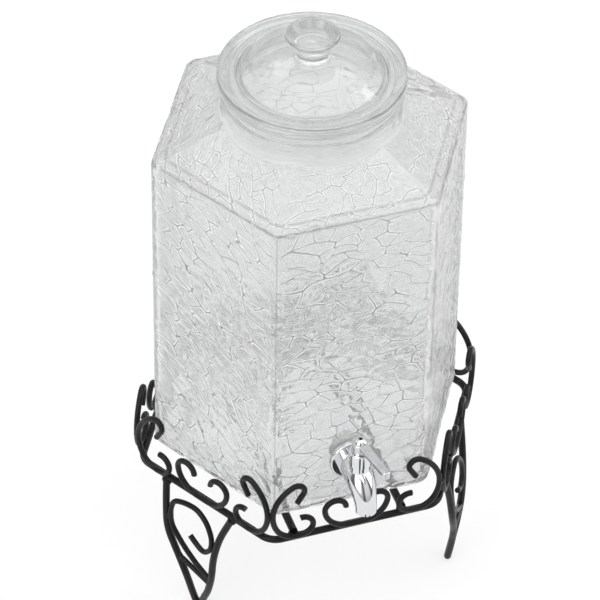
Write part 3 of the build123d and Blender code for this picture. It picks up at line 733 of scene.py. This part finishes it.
def build_jar():
    """Crackled jar: cells of relief outside, smooth inside, one closed skin."""
    skin = {"x": [], "y": [], "h": [], "groove": [], "lip_highlight": [], "corner_shade": [], "faces": []}
    borders = [crackle_side(side, skin) for side in range(6)]
    rows = np.arange(RELIEF_LOW, RELIEF_HIGH + 0.1, (RELIEF_HIGH - RELIEF_LOW) / ROW_COUNT)

    def column(x, corner_shade):
        first = len(skin["x"])
        for y in rows:
            skin["corner_shade"].append((len(skin["x"]), corner_shade * (CORNER_SHADE_LOW < y < CORNER_SHADE_HIGH)))
            for name, value in (("x", x), ("y", float(y)), ("h", 0.0), ("groove", 0.0), ("lip_highlight", 0.0)):
                skin[name].append(value)
        return [(float(y), first + number) for number, y in enumerate(rows)]

    low_row, high_row = [], []
    for corner in range(6):
        x = corner * side_length
        columns = [column(x + offset, CORNER_PAINTED_SHADE if offset == 0 else 0.0) for offset in CORNER_OFFSETS]
        strips = [borders[corner - 1][RIGHT], *columns, borders[corner][LEFT]]
        for left, right in zip(strips, strips[1:]):
            sew(skin["faces"], left, right)
        for offset, strip in zip(CORNER_OFFSETS, columns):
            low_row.append(((x + offset) % perimeter, strip[0][1]))
            high_row.append(((x + offset) % perimeter, strip[-1][1]))
        low_row += borders[corner][FOOT]
        high_row += borders[corner][TOP]
    low_row = sorted(low_row)
    high_row = sorted(high_row)

    x = np.array(skin["x"])
    y = np.array(skin["y"])
    mask = relief_mask(x % perimeter, y)
    height = np.array(skin["h"]) * mask
    points = outer_surface(x, y) + outer_normal(x, y) * height[:, None]
    # Painted shade in the grooves and painted highlight on the lips; the roof keeps less of the shade
    shades = {name: np.array(skin[name]) * mask for name in ("groove", "lip_highlight")}
    shades["groove"] *= np.where(y > ROLL_HIGH, ROOF_GROOVE_SHADE, 1.0)
    # Painted shade: the thin dark line down each upright corner's middle column
    for vertex, corner_shade in skin["corner_shade"]:
        shades["groove"][vertex] = corner_shade
    faces = skin["faces"]

    ring_x = np.arange(RING_COUNT) * perimeter / RING_COUNT
    ring_theta = direction(ring_x)
    extra = []
    total = len(points)

    def ring(coordinates):
        nonlocal total
        extra.append(coordinates)
        total += len(coordinates)
        return list(range(total - len(coordinates), total))

    def round_ring(radius, z):
        radius = np.broadcast_to(radius, ring_theta.shape)
        z = np.broadcast_to(z, ring_theta.shape)
        return ring(np.stack([radius * np.cos(ring_theta), radius * np.sin(ring_theta), z], -1))

    def join(first, second):
        for i in range(RING_COUNT):
            j = (i + 1) % RING_COUNT
            faces.append((first[i], first[j], second[j], second[i]))

    def keyed(indices):
        return close_row([(float(key), index) for key, index in zip(ring_x, indices)])

    upper = [ring(outer_surface(ring_x, np.full(RING_COUNT, level))) for level, _ in NECK_FOOT]
    # Painted highlight: a white milky band round the neck's foot
    painted_foot_highlight = [(index, share) for row, (_, share) in zip(upper, NECK_FOOT) for index in row]
    rim_foot = jar_rim_top - rim_height
    for turn in (-90, -60, -30, 0, 30, 60, 90):
        a = math.radians(turn)
        upper.append(round_ring(neck_radius + NECK_RING_SWELL * math.cos(a),
                                rim_foot - NECK_RING_DROP + NECK_RING_HALF * math.sin(a)))
    roll = RIM_ROLL * rim_height
    roll_radius = rim_radius - roll
    upper.append(round_ring(neck_radius, rim_foot - NECK_ROW))
    upper.append(round_ring(neck_radius, rim_foot))
    quarter = [math.radians(turn) for turn in (0, 22, 45, 68, 90)]
    for a in quarter:
        upper.append(round_ring(roll_radius + roll * math.sin(a), rim_foot + roll - roll * math.cos(a)))
    for a in quarter:
        upper.append(round_ring(roll_radius + roll * math.cos(a), jar_rim_top - roll + roll * math.sin(a)))
    upper.append(round_ring(bore_radius + BEVEL, jar_rim_top))
    upper.append(round_ring(bore_radius, jar_rim_top - BEVEL))

    inner_inradius = jar_inradius - jar_wall
    slope = math.atan(jar_slope)
    inner_shoulder = jar_shoulder - jar_wall / math.cos(slope) + jar_wall * jar_slope
    inner_floor = jar_base + jar_floor
    part = shell_profile(ring_theta, inner_inradius, inner_corner, inner_shoulder, bore_radius, *INNER_CUTS)
    upper.append(round_ring(bore_radius, jar_rim_top - BORE_ROW))

    def bent_ring(names, share):
        first, corner, last = (part[name] for name in names)
        upper.append(round_ring(*(bend(first[i], corner[i], last[i], share) for i in (0, 1))))

    for share in (1.0, 0.75, 0.5, 0.25, 0.0):
        bent_ring(("roof_end", "root", "neck"), share)
    upper.append(round_ring(*(0.5 * part["roof_end"][i] + 0.5 * part["roof_start"][i] for i in (0, 1))))
    for share in (1.0, 0.5, 0.0):
        bent_ring(("wall", "corner", "roof_start"), share)
    wall = part["wall"][0]
    for z in WALL_ROWS:
        upper.append(round_ring(wall, z))
    for turn in (90, 67, 45, 22, 0):
        a = math.radians(turn)
        inset = INNER_HEEL * (1 - math.sin(a))
        shrunk = hexagon_radius(ring_theta, inner_inradius - inset, max(inner_corner - inset, LEAST_CORNER))
        upper.append(round_ring(shrunk, inner_floor + INNER_HEEL * (1 - math.cos(a))))
    for share in (0.7, 0.35):
        upper.append(round_ring(shrunk * share, inner_floor))
    for first, second in zip(upper, upper[1:]):
        join(first, second)
    sew(faces, close_row(high_row), keyed(upper[0]))

    lower = [ring(outer_surface(ring_x, np.full(RING_COUNT, level))) for level in FOOT_ROWS]
    hollow = hexagon_radius(ring_theta, jar_inradius - HOLLOW_INSET, jar_corner)
    hollow_top = jar_base + HOLLOW_DEPTH
    lower.append(round_ring(hollow, jar_base))
    lower.append(round_ring(hollow - BEVEL, hollow_top))
    for share in (0.6, 0.3):
        lower.append(round_ring(hollow * share, hollow_top))
    for first, second in zip(lower, lower[1:]):
        join(first, second)
    sew(faces, close_row(low_row), keyed(lower[0]))
    for last, z in ((upper[-1], inner_floor), (lower[-1], hollow_top)):
        middle = ring(np.array([[0.0, 0.0, z]]))[0]
        for i in range(RING_COUNT):
            faces.append((last[i], last[(i + 1) % RING_COUNT], middle))

    points = np.concatenate([points, *extra])
    points[:, 1] += axis_y
    mesh = bpy.data.meshes.new("crackle_jar")
    mesh.from_pydata((points * MM).tolist(), [], faces)
    mesh.validate()
    # Attributes that the glass reads as painted shade and painted highlight
    for name, values in shades.items():
        shade = mesh.attributes.new(name, "FLOAT", "POINT")
        padded = np.concatenate([values, np.zeros(len(points) - len(values))])
        # Painted highlight round the neck's foot goes into the lips' attribute
        if name == "lip_highlight":
            for index, share in painted_foot_highlight:
                padded[index] = share
        shade.data.foreach_set("value", padded.astype(np.float32))
    work = bmesh.new()
    work.from_mesh(mesh)
    bmesh.ops.remove_doubles(work, verts=work.verts, dist=MERGE_DISTANCE)
    bmesh.ops.recalc_face_normals(work, faces=work.faces)
    for face in work.faces:
        face.smooth = True
    work.to_mesh(mesh)
    work.free()
    mesh.materials.append(jar_glass)
    return add_object("crackle_jar", mesh)


jar = build_jar()
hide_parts("glass_jar")
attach(jar, "jar")

UP = Vector((0, 0, 1))
# How near its extreme a vertex counts as there; how far a bead lies in and up from a scroll's foot, and how
# far to each side under a middle scroll and on a bar, all in metres
EXTREME_REACH = 0.0002
FOOT_IN = 0.0022
FOOT_UP = 0.0006
MIDDLE_SPREAD = 0.006
BAR_SPREAD = 0.0026
# How far a leg stands out from the ring, and how much further in the middle of its bow, in millimetres
LEG_OUT = 1.8
LEG_BOW = 6.5
# Where the beads at a leg's top and on the bars lie, up from the ring's middle and out from its side
LEG_TOP = (-3.6, 1.2)
BAR_TOP = (3.4, 0.0)
# Beads at a leg's top: shares of its width; on its rods: shares of its width and of its drop, a shift along
# the side and the bead's radius
LEG_TOPS = (-0.50, 0.52)
LEG_BEADS = (
    (-0.44, 0.29, 2.6, 2.2), (0.265, 0.645, 0.0, 2.0), (-0.235, 0.60, 2.0, 2.1), (0.255, 0.69, -2.0, 2.1),
)


def side_frame(angle):
    """Directions outward from a side and along it."""
    a = math.radians(angle)
    return Vector((math.cos(a), math.sin(a), 0)), Vector((-math.sin(a), math.cos(a), 0))


def side_point(angle, along, up, out):
    """Point near the stand's ring: along a side, up from the ring's middle and out from its side."""
    outward, sideways = side_frame(angle)
    return (outward * (ring_inradius + out) + sideways * along + Vector((0, axis_y, ring_height + up))) * MM


def leg_place(angle, along_share, down_share, shift=0.0):
    """Point on a leg's bowed face: a share of its width along and of its drop down."""
    out = LEG_OUT + LEG_BOW * math.sin(math.pi * down_share)
    return side_point(angle, leg_shift + along_share * leg_width + shift, -down_share * leg_drop, out)


def extreme(name, toward):
    """Middle of a CAD node's vertices that lie furthest in a direction."""
    points = np.array([v.co for v in nodes[name].data.vertices])
    values = points @ np.array(toward)
    return Vector(points[values > values.max() - EXTREME_REACH].mean(0))


# Radii of the other beads: under a corner scroll, where a pair of them meets, under a middle scroll, at a
# leg's top and on a bar
CORNER_BEAD = 2.1
PAIR_BEAD = 1.9
MIDDLE_BEAD = 2.0
LEG_BEAD = 3.1
BAR_BEAD = 1.8
# Size and fineness of a bead's big and small lumps, and the least and the spread of its stretch
BIG_LUMP, BIG_FINENESS = 0.30, 1.5
SMALL_LUMP, SMALL_FINENESS = 0.10, 4.5
LEAST_STRETCH, STRETCH_SPREAD = 1.25, 0.5


def bead_places():
    """Beads of weld: place, direction of their length and radius in millimetres."""
    beads = []
    for side, angle in side_angles.items():
        outward, sideways = side_frame(angle)
        inward = UP * FOOT_UP - outward * FOOT_IN
        for end in ("a", "b"):
            name = f"corner_scroll_{side}_{end}"
            beads.append((extreme(name, -UP) + inward, sideways, CORNER_BEAD))
            if end == "b":
                beads.append((extreme(name, sideways), UP, PAIR_BEAD))
        for sign in (-1, 1):
            foot = extreme(f"middle_scroll_{side}", -UP)
            beads.append((foot + inward + sideways * MIDDLE_SPREAD * sign, sideways, MIDDLE_BEAD))
    for angle in leg_angles:
        for share in LEG_TOPS:
            place = side_point(angle, leg_shift + share * leg_width, *LEG_TOP)
            beads.append((place, side_frame(angle)[1], LEG_BEAD))
        for along_share, down_share, shift, size in LEG_BEADS:
            beads.append((leg_place(angle, along_share, down_share, shift), UP, size))
    for x in bar_places:
        for angle, turned in ((90, -1), (270, 1)):
            for sign in (-1, 1):
                foot = side_point(angle, x * turned, *BAR_TOP)
                beads.append((foot + Vector((sign * BAR_SPREAD, 0, 0)), Vector((0, 1, 0)), BAR_BEAD))
    return beads


def build_beads():
    """Small irregular beads of weld where the rods meet."""
    work = bmesh.new()
    for number, (place, along, size) in enumerate(bead_places()):
        turn = along.normalized().to_track_quat("X", "Z").to_matrix().to_4x4()
        made = bmesh.ops.create_icosphere(work, subdivisions=3, radius=1.0)
        for vertex in made["verts"]:
            p = vertex.co.normalized()
            lump = 1 + BIG_LUMP * noise.noise(p * BIG_FINENESS + Vector((number * 7.3, 0, 0)))
            lump += SMALL_LUMP * noise.noise(p * SMALL_FINENESS + Vector((0, number * 3.1, 0)))
            stretch = LEAST_STRETCH + STRETCH_SPREAD * scatter(number, 5)
            local = Vector((p.x * size * stretch, p.y * size, p.z * size)) * lump * MM
            vertex.co = place + turn @ local
    for face in work.faces:
        face.smooth = True
    mesh = bpy.data.meshes.new("weld_beads")
    work.to_mesh(mesh)
    work.free()
    mesh.materials.append(iron)
    return add_object("weld_beads", mesh)


welds = build_beads()
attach(welds, "stand")

# Places and radii on the floor of the dark cards that the tap's chrome mirrors, and half the floor's side
DARK_CARDS = [((0.055, -0.297, 0.0), 0.048), ((-0.080, -0.336, 0.0), 0.034)]
FLOOR_HALF = 6


def build_floor():
    mesh = bpy.data.meshes.new("floor")
    corners = [(x * FLOOR_HALF, y * FLOOR_HALF, 0) for x, y in ((-1, -1), (1, -1), (1, 1), (-1, 1))]
    mesh.from_pydata(corners, [], [(0, 1, 2, 3)])
    floor = add_object("floor", mesh)
    material, tree = new_material("white_floor")
    path = add(tree, "LightPath").outputs
    glow = 1.0
    for card, radius in DARK_CARDS:
        away = share_from_axis(tree, card, 2 * radius)
        level = ramp(tree, away, [(0.0, 0.02), (0.42, 0.04), (0.56, 1.0)])
        glow = add(tree, "Math", {0: level, 1: glow}, operation="MULTIPLY").outputs[0]
    paper = add(tree, "BsdfDiffuse", {"Color": (0.9, 0.9, 0.9, 1)})
    white = add(tree, "Emission", {"Color": (1, 1, 1, 1), "Strength": 1.0})
    seen = add(tree, "MixShader", {0: 0.72, 1: paper.outputs[0], 2: white.outputs[0]})
    mirrored = add(tree, "Emission", {"Color": glow, "Strength": 1.0})
    beyond = add(tree, "Emission", {"Color": (0.97, 0.97, 0.97, 1), "Strength": 1.0})
    shown = paper
    for ray, shader in (("Glossy", mirrored), ("Transmission", beyond), ("Camera", seen)):
        shown = add(tree, "MixShader", {0: path[f"Is {ray} Ray"], 1: shown.outputs[0], 2: shader.outputs[0]})
    finish_material(tree, shown.outputs[0])
    mesh.materials.append(material)
    floor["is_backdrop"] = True


build_floor()

# Dark gaps between the studio's soft boxes
STUDIO_GAPS = 5.0


def build_world():
    """White to the camera; to the metal, the glass and the shade a white studio with darker gaps."""
    world = bpy.data.worlds.new("studio")
    bpy.context.scene.world = world
    world.use_nodes = True
    tree = world.node_tree
    tree.nodes.clear()
    path = add(tree, "LightPath").outputs
    toward = add(tree, "SeparateXYZ", {"Vector": add(tree, "TexCoord").outputs["Generated"]}).outputs
    level = ramp(tree, toward["Z"], [(0.0, 0.55), (0.30, 0.85), (0.62, 0.95), (1.0, 0.80)])
    azimuth = add(tree, "Math", {0: toward["X"], 1: toward["Y"]}, operation="ARCTAN2").outputs[0]
    turns = add(tree, "Math", {0: azimuth, 1: STUDIO_GAPS}, operation="MULTIPLY").outputs[0]
    wave = add(tree, "Math", {0: turns}, operation="SINE").outputs[0]
    wave = share_between(tree, wave, -1.0, 1.0)
    bars = ramp(tree, wave, [(0.0, 0.06), (0.08, 0.10), (0.25, 0.75), (0.5, 1.0)])
    room = add(tree, "Background", {"Color": multiply(tree, level, bars, 0.85), "Strength": 0.9})
    soft = ramp(tree, toward["Z"], [(0.0, 0.78), (0.25, 0.90), (0.6, 0.96), (1.0, 0.92)])
    beyond = add(tree, "Background", {"Color": soft, "Strength": 0.95})
    white = add(tree, "Background", {"Color": (1, 1, 1, 1), "Strength": 1.0})
    for ray, shader in (("Transmission", beyond), ("Camera", white)):
        room = add(tree, "MixShader", {0: path[f"Is {ray} Ray"], 1: room.outputs[0], 2: shader.outputs[0]})
    add(tree, "OutputWorld", {"Surface": room.outputs[0]})


build_world()


def add_lamp(name, place, target, width, height, power):
    lamp = bpy.data.lights.new(name, "AREA")
    lamp.shape = "RECTANGLE"
    lamp.size = width
    lamp.size_y = height
    lamp.energy = power
    made = add_object(name, lamp)
    made.location = place
    made.rotation_euler = (Vector(target) - Vector(place)).to_track_quat("-Z", "Y").to_euler()


add_lamp("lamp_top", (0.1, 0.1, 2.3), (0, 0, 0.3), 3.0, 3.0, 36)
add_lamp("lamp_left", (-2.2, -1.4, 1.8), (0, 0, 0.25), 1.8, 2.2, 30)
add_lamp("lamp_right", (2.3, -0.6, 1.5), (0, 0, 0.25), 1.4, 2.0, 20)

# The camera fitted to the photograph: its angles in degrees, its place in jar sides from the middle of the
# jar's foot (back, left and up), the length of a side and the foot's height in metres, and its lens
CAMERA_ANGLES = (-19.056, 41.8274, 0.9167)
CAMERA_PLACE = (26.094, 0.0391, 0.668)
CAMERA_UNIT = 0.130
CAMERA_FOOT = 0.1415
CAMERA_LENS = 248.874


def build_camera():
    azimuth, elevation, roll = (math.radians(v) for v in CAMERA_ANGLES)
    back = Vector((math.sin(azimuth) * math.cos(elevation), -math.cos(azimuth) * math.cos(elevation),
                   math.sin(elevation)))
    level = Vector((math.cos(azimuth), math.sin(azimuth), 0))
    upward = back.cross(level)
    right = level * math.cos(roll) + upward * math.sin(roll)
    up = upward * math.cos(roll) - level * math.sin(roll)
    far, left, high = CAMERA_PLACE
    place = (back * far - right * left + up * high) * CAMERA_UNIT + Vector((0, axis_y * MM, CAMERA_FOOT))
    data = bpy.data.cameras.new("camera")
    data.sensor_width = 36.0
    data.lens = CAMERA_LENS
    data.clip_end = 100.0
    camera = add_object("camera", data)
    camera.matrix_world = Matrix((
        (right.x, up.x, back.x, place.x), (right.y, up.y, back.y, place.y),
        (right.z, up.z, back.z, place.z), (0, 0, 0, 1)))
    bpy.context.scene.camera = camera


build_camera()
bpy.context.scene.view_settings.view_transform = "Standard"


def plain(value):
    if isinstance(value, dict):
        return {key: plain(item) for key, item in value.items()}
    if isinstance(value, (list, tuple, Vector, np.ndarray)):
        return [plain(item) for item in value]
    return float(value)


{"cad": plain(cad_bounds), "visual": plain(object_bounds())}
